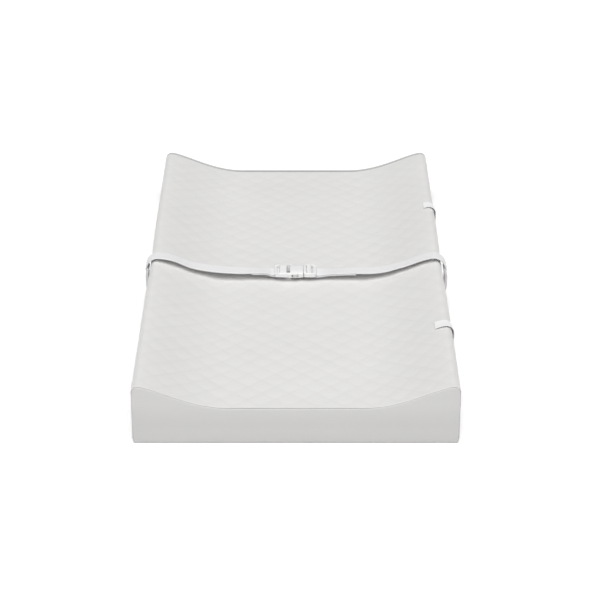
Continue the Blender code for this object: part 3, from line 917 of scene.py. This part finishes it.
def build_end_panel(name, node, sign, seam):
    """A plain panel over one end, crowned by simulation, its edge rolled back to the seam."""
    points, normals, low = closed_outline(PANEL_EDGE_STEP)
    points = points - np.column_stack((0 * low, FOOT_DROP * low))
    roll = EDGE_ROLL + (FOOT_ROLL - EDGE_ROLL) * low
    last = seam + (UNDER_SEAM - seam) * low + (LIP_RADIUS + SEAM_GAP[seam] / 2) / roll
    rim = points - normals * roll[:, None]
    spots, faces = flat_panel(rim, PANEL_NET, PANEL_MARGIN)
    mesh = bpy.data.meshes.new(name)
    mesh.from_pydata([(x, z, 0.0) for x, z in spots], [], faces)
    mesh.update()
    if mesh.polygons[0].normal.z < 0:
        mesh.flip_normals()
    count = len(rim)
    pinned = np.arange(len(spots)) < count
    flat = inflated(mesh.copy(), pinned, PANEL_PRESSURE, PANEL_CROWN)
    rise = flat[:, 2]
    scale, height = PANEL_LUMPS
    lumps = fabric_noise(np.column_stack((flat[:, :2], 0 * rise)), scale, 3 + sign) * height
    rise = rise + lumps * ~pinned + flare(flat[:, 1])
    verts = [(x, sign * (HALF_LENGTH + w), z) for (x, z, _), w in zip(flat, rise)]
    depth = [0.0] * len(verts)
    shown = [tuple(face.vertices) for face in mesh.polygons]

    # rings from the face back round the roll, and then the turned-in edge
    rings = [list(range(count))]
    turns = [(share, 0.0) for share in ROLL_SHARES]
    turns += [(1.0, LIP_RADIUS * LIP_ANGLE * share) for share in LIP_SHARES]
    turns += [(1.0, LIP_LENGTH)]
    for share, past in turns:
        turn = math.pi / 2 + (last - math.pi / 2) * share
        angle = np.maximum(turn, 0.0)
        forward, inward = turned_in(np.array([past]))
        forward = forward - np.minimum(turn, 0.0) * roll - drawn_tight(points[:, 0], seam) * share
        y = HALF_LENGTH - roll * (1 - np.sin(angle))
        inset = roll * (1 - np.cos(angle))
        y = y - forward * np.cos(angle) - inward * np.sin(angle)
        inset = inset - forward * np.sin(angle) + inward * np.cos(angle)
        ring = points - normals * inset[:, None]
        start = len(verts)
        y = y + flare(ring[:, 1]) * (1 - share) ** 0.5
        verts += [(p[0], sign * far, p[1]) for p, far in zip(ring, y)]
        depth += [past] * count
        rings.append(list(range(start, start + count)))
    for near, far in zip(rings, rings[1:]):
        for i in range(count):
            j = (i + 1) % count
            shown.append((near[i], near[j], far[j], far[i]))
    panel = outward_mesh(name, verts, shown)
    mark_seam(panel, depth, [vert[0] for vert in verts])
    if sum(face.normal.y * face.area for face in panel.polygons) * sign < 0:
        panel.flip_normals()
    panel = baked(panel, ("SUBSURF", {"levels": 1, "render_levels": 1}),
                  ("SOLIDIFY", {"thickness": SHEET_THICKNESS, "offset": -1.0}))
    panel.shade_smooth()
    piece = add_piece(name, panel, "plain_vinyl", replaced=[node])
    return piece


# ---- the bottom panel ----------------------------------------------------------------
def build_bottom():
    """The underside: a thin panel with a rolled edge and rows of raised non-slip dots."""
    low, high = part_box("bottom_panel")
    over = Vector((*BOTTOM_OVER, 0.0))
    low, high = low - over, high + over
    outline = []
    for quarter, (side_x, side_y) in enumerate(((1, 1), (-1, 1), (-1, -1), (1, -1))):
        outline += list(arc(side_x * (high.x - BOTTOM_CORNER), side_y * (high.y - BOTTOM_CORNER),
                            BOTTOM_CORNER, quarter * math.pi / 2, (quarter + 1) * math.pi / 2, 6))
    outline = np.array(outline)
    half = (high.z - DOT_HEIGHT) / 2
    verts = []
    for angle in np.linspace(-math.pi / 2, math.pi / 2, BOTTOM_EDGE_RINGS):
        ring = outline * (1 - half * (1 - math.cos(angle)) / np.abs(outline).max(0))
        height = high.z - half + half * math.sin(angle)
        verts += [(x, y, height) for x, y in ring]
    faces = ring_faces(len(outline), BOTTOM_EDGE_RINGS)
    for j in range(int(2 * (high.y - DOT_MARGIN) / DOT_PITCH)):
        for i in range(int(2 * (high.x - DOT_MARGIN) / DOT_PITCH)):
            faces += ring_faces(DOT_SIDES, 3, len(verts))
            verts += dot_points(low.x + DOT_MARGIN + (i + 0.5 * (j % 2)) * DOT_PITCH,
                                low.y + DOT_MARGIN + j * DOT_PITCH)
    mesh = outward_mesh("bottom", verts, faces)
    mesh.shade_smooth()
    mesh.set_sharp_from_angle(angle=math.radians(40))
    piece = add_piece("non_slip_bottom_panel", mesh, "base_vinyl", replaced=["bottom_panel"])
    return piece


def dot_points(x, y):
    """Three rings of a low dome pointing down, its rim sunk into the panel."""
    points = []
    for share, z in ((1.0, DOT_HEIGHT + 0.0001), (0.8, DOT_HEIGHT * 0.35), (0.4, 0.00003)):
        for k in range(DOT_SIDES):
            turn = 2 * math.pi * k / DOT_SIDES
            points.append((x + DOT_RADIUS * share * math.cos(turn),
                           y + DOT_RADIUS * share * math.sin(turn), z))
    return points


# ---- straps --------------------------------------------------------------------------
def moved_right(points, distance):
    """A polyline moved to the right of its direction of travel, with mitred corners."""
    points = np.asarray(points, float)
    into = np.diff(points, axis=0)
    into /= np.linalg.norm(into, axis=1, keepdims=True)
    before = np.vstack((into[:1], into))
    after = np.vstack((into, into[-1:]))
    normal = np.column_stack((before[:, 1] + after[:, 1], -before[:, 0] - after[:, 0]))
    normal /= np.linalg.norm(normal, axis=1, keepdims=True)
    stretch = (normal * np.column_stack((before[:, 1], -before[:, 0]))).sum(1)
    return points + normal * (distance / stretch)[:, None]


def smooth_through(points, steps):
    """A Catmull-Rom curve through a few chosen points, steps to each stretch."""
    points = [np.array(p, float) for p in points]
    padded = [points[0] * 2 - points[1], *points, points[-1] * 2 - points[-2]]
    curve = []
    for a, b, c, d in zip(padded, padded[1:], padded[2:], padded[3:]):
        for step in range(steps):
            t = step / steps
            curve.append(0.5 * (2 * b + (c - a) * t + (2 * a - 5 * b + 4 * c - d) * t ** 2
                                + (3 * b - a - 3 * c + d) * t ** 3))
    curve.append(points[-1])
    return np.array(curve)


def hang(side, x):
    """(rise, lean) of one half of the belt at distances x from the middle."""
    where, *kinds = np.array(BELT_HANG[side]).T
    offsets = np.linspace(-HANG_BLUR, HANG_BLUR, 9)
    return [np.mean([np.interp(np.abs(x) + off, where, kind) for off in offsets], axis=0)
            for kind in kinds]


def belt_run(side):
    """Middle line of one half, as if on the right, from its sewn foot to the buckle."""
    wall_x = PAD_WIDTH / 2 + BELT_STANDOFF + CAD_WEBBING / 2
    foot = [(wall_x, z) for z in np.linspace(BELT_FOOT, BELT_LINE[0][1], 24)[:-1]]
    run = np.vstack((foot, smooth_through([*BELT_LINE, (BELT_LEVEL_X, BUCKLE_Z + LOAD_PLY)], 6)))
    x, z = run.T
    bow = BELT_BOW[side] * smoothstep(z, *BOW_START) + FOOT_OUT
    bow = bow * (1 - smoothstep(z, *BOW_END)) * smoothstep(x, *BOW_ACROSS)
    round_off = SHOULDER_DROP * np.exp(-((x - SHOULDER[0]) / SHOULDER[1]) ** 2)
    return np.column_stack((x + bow - 0.5 * round_off, z - round_off + hang(side, x)[0]))


def folded_end(run):
    """The webbing's end under its run up the wall, then the fold at the foot."""
    count = int(np.argmax(run[:, 1] > FOLD_TOP))
    under = run[:count][::-1] - (FOLD_OFFSET, 0.0)
    bend = FOLD_OFFSET / 2
    return np.vstack((under, arc(run[0, 0] - bend, run[0, 1], bend, math.pi, 2 * math.pi, 8)))


def under_height(x, side):
    """Height of the lower ply, which lies against the webbing above it."""
    run = belt_run(side)[::-1]
    above = np.interp(x, run[:, 0], run[:, 1]) - (BUCKLE_Z + LOAD_PLY)
    start, end, spread = UNDER_SPREAD
    return BUCKLE_Z + LOWER_PLY + above + spread * smoothstep(x, start, end)


def threaded(slot_x, far_x, end_x, side):
    """The webbing up through the outer slot, over the bar, down and back underneath."""
    bend = WEBBING_BEND
    load = BUCKLE_Z + LOAD_PLY
    over = BUCKLE_Z + OVER_BAR_PLY
    under = BUCKLE_Z + LOWER_PLY
    quarter = math.pi / 2
    tail = [(x, under_height(x, side)) for x in np.linspace(far_x + bend, end_x, 24)[1:]]
    return np.vstack((
        arc(slot_x + bend, load + bend, bend, 3 * quarter, 2 * quarter, 6),
        arc(slot_x - bend, over - bend, bend, 0, quarter, 6),
        arc(far_x + bend, over - bend, bend, quarter, 2 * quarter, 6),
        arc(far_x + bend, under + bend, bend, 2 * quarter, 3 * quarter, 6),
        tail,
    ))


def bar_plies(bar):
    clear = GAP + CAD_WEBBING / 2
    return bar[1] + clear, bar[0] - clear


def strap_profile():
    """Cross-section of the webbing: (across, thickness share), thicker at its selvedges."""
    half = WEBBING_WIDTH / 2
    inner = half - SELVEDGE_WIDTH
    across = np.concatenate((np.linspace(-half, -inner, 5), np.linspace(-inner, inner, 12)[1:-1],
                             np.linspace(inner, half, 5)))
    edge = half - np.abs(across)
    body = np.sqrt(np.clip(1 - (1 - np.clip(edge / SELVEDGE_RADIUS, 0, 1)) ** 2, 0, 1))
    full, falls, gone, ridge = SELVEDGE_RIDGE
    selvedge = 1 + ridge * smoothstep(edge, 0.0, full) * (1 - smoothstep(edge, falls, gone))
    return across, body * selvedge * BODY_SHARE


def strap(name, path, body, replaced, slot="webbing", width=WEBBING_WIDTH,
          thickness=WEBBING_THICKNESS, centre_y=BELT_Y, near_lift=0.0, side=0):
    """A woven strip along an XZ path, with rounded thicker selvedges and fabric UVs.

    near_lift raises its near edge off what it lies on, over the middle of its length. side is
    the half of the belt it belongs to, whose lean it takes."""
    path = np.asarray(path, float)
    keep = np.concatenate(([True], np.linalg.norm(np.diff(path, axis=0), axis=1) > 1e-6))
    path = path[keep]
    run = np.concatenate(([0.0], np.cumsum(np.linalg.norm(np.diff(path, axis=0), axis=1))))
    across, share = strap_profile()
    across = across * (width / WEBBING_WIDTH)
    loop_v = np.concatenate((across, across[-2:0:-1]))
    loop_t = np.concatenate((share, -share[-2:0:-1])) * thickness / 2
    into = moved_right(path, 1.0) - path
    lean = np.zeros(len(path))
    if side:
        on_wall = smoothstep(np.abs(path[:, 0]), *ON_WALL)
        lean = hang(side, path[:, 0])[1] * (1 - on_wall)
        outward = np.column_stack((0.5 * np.sign(path[:, 0]), np.ones(len(path))))
        lean = -lean * np.sign((into * outward).sum(1))
    verts, uv = [], []
    for i, (x, z) in enumerate(path):
        held = math.sin(math.pi * min(run[i] / run[-1] * LIFT_END, 1.0)) ** 0.5
        for v, t in zip(loop_v, loop_t):
            out = t + near_lift * held * (0.5 - v / width) ** 2
            out -= lean[i] * 2 * v / width
            verts.append((x - into[i, 0] * out, centre_y + v, z - into[i, 1] * out))
            uv.append((run[i], v))
    mesh = outward_mesh(name, verts, ring_faces(len(loop_v), len(path)))
    set_uv(mesh, uv)
    mesh.shade_smooth()
    mesh.set_sharp_from_angle(angle=math.radians(60))
    return add_piece(name, mesh, slot, body, replaced)


def build_belt():
    slot_x, far_x = bar_plies(SOCKET_BAR)
    run = belt_run(-1)
    looped = np.vstack((folded_end(run), run, threaded(slot_x, far_x, RETURN_PLY_END, -1)))
    looped = looped * (-1, 1)
    strap("left_belt_strap", looped, "pad", ["left_belt"], side=-1)
    slot_x, far_x = bar_plies(PLUG_BAR)
    run = belt_run(1)
    looped = np.vstack((folded_end(run), run, threaded(slot_x, far_x, TAIL_END, 1)))
    right = strap("right_belt_strap", looped, None, ["right_belt", "right_belt_tail"], side=1)
    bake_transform(right)


# ---- labels --------------------------------------------------------------------------
def label_path(reach, lift):
    """A line over the right rim, from inboard down to the label's free end."""
    outer_x = PAD_WIDTH / 2
    rim = arc(outer_x - RIM_RADIUS, RIM_HEIGHT - RIM_RADIUS, RIM_RADIUS, math.pi / 2, 0, 8)
    inboard = np.linspace(reach, RIM_RADIUS, 6)[:-1]
    top = np.column_stack((outer_x - inboard, surface_height(inboard)))
    wall = [(outer_x, z) for z in np.linspace(RIM_HEIGHT - RIM_RADIUS, LABEL_FOOT, 7)[1:]]
    return moved_right(np.vstack((top, rim, wall)), -lift)


def build_labels():
    lift = GAP + LABEL_THICKNESS / 2 + LABEL_CLEARANCE
    from_end, from_side = LABEL_STITCH_INSET
    for name, reach in LABEL_REACH.items():
        low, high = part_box(name)
        middle = (low.y + high.y) / 2
        path = label_path(reach, lift)
        piece = strap(name + "_tab", path, "pad", [name], "label_satin", LABEL_WIDTH,
                      LABEL_THICKNESS, middle, LABEL_LIFT)
        over = label_path(reach - from_end, lift + LABEL_THICKNESS / 2)[0]
        half = LABEL_WIDTH / 2 - from_side
        row = [((over[0], middle - half, over[1]), (over[0], middle + half, over[1]))]
        sew(name + "_stitches", row, (0.25, 0, 1), [name + "_stitching"])


# ---- stitches ------------------------------------------------------------------------
def sew(name, rows, out, replaced):
    """Single stitches along straight rows, each a thread that dips into the fabric."""
    out = Vector(out).normalized()
    verts, faces = [], []
    steps = 6
    for start, end in rows:
        start, end = Vector(start), Vector(end)
        along = (end - start).normalized()
        across = along.cross(out).normalized()
        count = max(int((end - start).length / STITCH_PITCH), 1)
        for k in range(count):
            middle = start + (end - start) * ((k + 0.5) / count)
            faces += ring_faces(THREAD_SIDES, steps + 1, len(verts))
            for i in range(steps + 1):
                share = i / steps * 2 - 1
                rise = THREAD_RADIUS * (0.9 - 1.5 * share ** 4)
                radius = THREAD_RADIUS * math.sqrt(max(1 - share ** 6, 0.04))
                centre = middle + along * (share * STITCH_LENGTH / 2) + out * rise
                for j in range(THREAD_SIDES):
                    turn = 2 * math.pi * j / THREAD_SIDES
                    verts.append(centre + across * (radius * math.cos(turn))
                                 + out * (radius * math.sin(turn)))
    mesh = outward_mesh(name, verts, faces)
    mesh.shade_smooth()
    return add_piece(name, mesh, "thread", replaced=replaced)


def box_rows(corner, along, across):
    """The four sides of a sewn box and the cross inside it."""
    corner, along, across = Vector(corner), Vector(along), Vector(across)
    far = corner + along + across
    return [(corner, corner + along), (corner + along, far), (far, corner + across),
            (corner + across, corner), (corner, far), (corner + along, corner + across)]


def leaned(spot, side):
    """A point on the level belt, moved to where the belt's lean takes it."""
    lean = float(hang(side, spot[0])[1])
    return Vector((spot[0], spot[1], spot[2] - lean * 2 * (spot[1] - BELT_Y) / WEBBING_WIDTH))


def build_stitching():
    wall_x = PAD_WIDTH / 2 + BELT_STANDOFF + (CAD_WEBBING + WEBBING_THICKNESS) / 2 + FOOT_OUT
    for side, name in ((-1, "left_belt_stitching"), (1, "right_belt_stitching")):
        low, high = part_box(name)
        rows = box_rows((side * wall_x, low.y, low.z), (0, high.y - low.y, 0),
                        (0, 0, high.z - low.z))
        sew(name.replace("stitching", "stitches"), rows, (side, 0, 0), [name])
    low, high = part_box("socket_fold_stitching")
    under = [float(under_height(-x, -1)) - WEBBING_THICKNESS / 2 for x in (low.x, high.x)]
    rows = box_rows((low.x, low.y, under[0]), (high.x - low.x, 0, under[1] - under[0]),
                    (0, high.y - low.y, 0))
    rows = [[leaned(spot, -1) for spot in row] for row in rows]
    sew("socket_fold_stitches", rows, (0, 0, -1), ["socket_fold_stitching"])


# ---- the buckle ----------------------------------------------------------------------
def moulded(name, node, body, outer_end=None, lip=None):
    """A CAD piece of the buckle as it comes out of a mould: soft edges and a crowned top."""
    source = nodes[node]
    mesh = source.data.copy()
    mesh.transform(source.matrix_world)
    if lip:
        add_lip(mesh, *lip)
    mesh = baked(mesh, ("REMESH", {"mode": "VOXEL", "voxel_size": MOULD_DETAIL}),
                 ("SMOOTH", {"factor": 0.5, "iterations": MOULD_SMOOTHING}))
    if outer_end is not None:
        x, y, z = points_of(mesh).T
        side = np.clip(np.abs(y - BELT_Y) / BUCKLE_HALF_WIDTH, 0.0, 1.0)
        flank = 1 - (1 - CROWN_AT_SIDE) * side ** 4
        off_end = smoothstep(np.abs(x - outer_end), 0, END_CROWN_REACH)
        tip = CROWN_AT_END + (1 - CROWN_AT_END) * off_end
        belly = 1 + BELLY * np.exp(-(x / BELLY_REACH) ** 2) * (z < BUCKLE_Z)
        inside = smoothstep(np.abs(z - BUCKLE_Z), *CROWN_STARTS)
        z = BUCKLE_Z + (z - BUCKLE_Z) * (1 + (flank * tip * belly - 1) * inside)
        bulge = BULGE * np.exp(-((x - BULGE_PLACE[0]) / BULGE_PLACE[1]) ** 2)
        wider = 1 + bulge * smoothstep(side, *BULGE_SIDE)
        set_points(mesh, np.column_stack((x, BELT_Y + (y - BELT_Y) * wider, z)))
    mesh.shade_smooth()
    return add_piece(name, mesh, "buckle_plastic", body, [node])


def add_lip(mesh, low, high):
    """Adds a bar across a piece, between two (x, height above the buckle's middle) corners."""
    bm = bmesh.new()
    bm.from_mesh(mesh)
    half = WEBBING_WIDTH / 2 + LIP_OVERHANG
    ends = [[bm.verts.new((x, BELT_Y + y, BUCKLE_Z + z)) for x, z in
             ((low[0], low[1]), (high[0], low[1]), (high[0], high[1]), (low[0], high[1]))]
            for y in (-half, half)]
    bm.faces.new(ends[0])
    bm.faces.new(ends[1][::-1])
    for i in range(4):
        j = (i + 1) % 4
        bm.faces.new((ends[0][j], ends[0][i], ends[1][i], ends[1][j]))
    bm.to_mesh(mesh)
    bm.free()


def build_buckle():
    moulded("moulded_socket", "buckle_socket", "pad", SOCKET_END)
    moulded("moulded_plug", "buckle_plug", "plug", PLUG_END, PLUG_LIP)
    moulded("moulded_front_prong", "front_prong", "front_prong_arm")
    moulded("moulded_rear_prong", "rear_prong", "rear_prong_arm")


# ---- the filling ---------------------------------------------------------------------
def lofted(outline, stations, closed):
    """A mesh through one (x, z) outline at several places along the pad."""
    verts = [(x, y, z) for y in stations for x, z in outline]
    mesh = outward_mesh("loft", verts, ring_faces(len(outline), len(stations), 0, closed))
    set_points(mesh, settled(points_of(mesh)))
    return mesh


def build_filling():
    """The foam block and the sheet of wadding over it."""
    low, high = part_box("foam_core")
    points, normals, _ = closed_outline(0.004)
    outline = points - normals * FOAM_INSET
    scale, seed, height = FOAM_LUMPS
    rough = fabric_noise(np.column_stack((outline, outline[:, 0] * 0)), scale, seed) * height
    outline -= normals * np.abs(rough)[:, None]
    stations = np.linspace(low.y + FOAM_END_GAP, high.y - FOAM_END_GAP, 90)
    mesh = lofted(outline, stations, True)
    mesh.shade_smooth()
    mesh.set_sharp_from_angle(angle=math.radians(50))
    foam = add_piece("foam_block", mesh, "foam", replaced=["foam_core"])

    low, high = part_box("quilt_wadding")
    point, normal = section.at(np.linspace(-section.reach, section.reach, 220))
    mesh = lofted(point - normal * WADDING_INSET, np.linspace(low.y, high.y, 160), False)
    mesh = baked(mesh, ("SOLIDIFY", {"thickness": WADDING_THICKNESS, "offset": -1.0}))
    mesh.shade_smooth()
    wadding = add_piece("wadding_sheet", mesh, "wadding", replaced=["quilt_wadding"])


# ---- camera, floor and light ---------------------------------------------------------
def build_stage():
    bpy.ops.mesh.primitive_plane_add(size=FLOOR_SIZE)
    floor = bpy.context.object
    floor.name = "floor"
    floor.data.materials.append(floor_paper())

    world = bpy.data.worlds.new("studio")
    bpy.context.scene.world = world
    world.use_nodes = True
    backdrop = world.node_tree.nodes["Background"]
    backdrop.inputs["Color"].default_value = (1.0, 1.0, 1.0, 1.0)
    backdrop.inputs["Strength"].default_value = SKY_STRENGTH

    key_data = bpy.data.lights.new("key", "SUN")
    key_data.energy = KEY_STRENGTH
    key_data.angle = KEY_SPREAD
    key = bpy.data.objects.new("key", key_data)
    key.rotation_euler = (math.pi / 2 - KEY_ELEVATION, 0.0, 0.0)
    bpy.context.scene.collection.objects.link(key)

    camera_data = bpy.data.cameras.new("camera")
    camera_data.sensor_width = CAMERA_SENSOR
    camera_data.lens = CAMERA_LENS
    camera_data.shift_x = CAMERA_SHIFT
    camera = bpy.data.objects.new("camera", camera_data)
    camera.location = CAMERA_PLACE
    camera.rotation_euler = (math.pi / 2 - CAMERA_PITCH, 0.0, 0.0)
    bpy.context.scene.collection.objects.link(camera)
    bpy.context.scene.camera = camera
    bpy.context.scene.view_settings.view_transform = "Standard"


def paint_cad():
    """Gives each CAD node that still shows its slot's finished material."""
    slots = {row["node"]: row["material_slot"] for row in frame["record"]["subparts"]}
    for name, node in nodes.items():
        node.data.materials.clear()
        node.data.materials.append(LOOKS[slots[name]])


build_stage()
paint_cad()
build_top_cover()
build_end_panel("front_end_cover", "front_end_panel", -1, FRONT_SEAM)
build_end_panel("rear_end_cover", "rear_end_panel", 1, REAR_SEAM)
build_bottom()
build_filling()
build_belt()
build_stitching()
build_labels()
build_buckle()
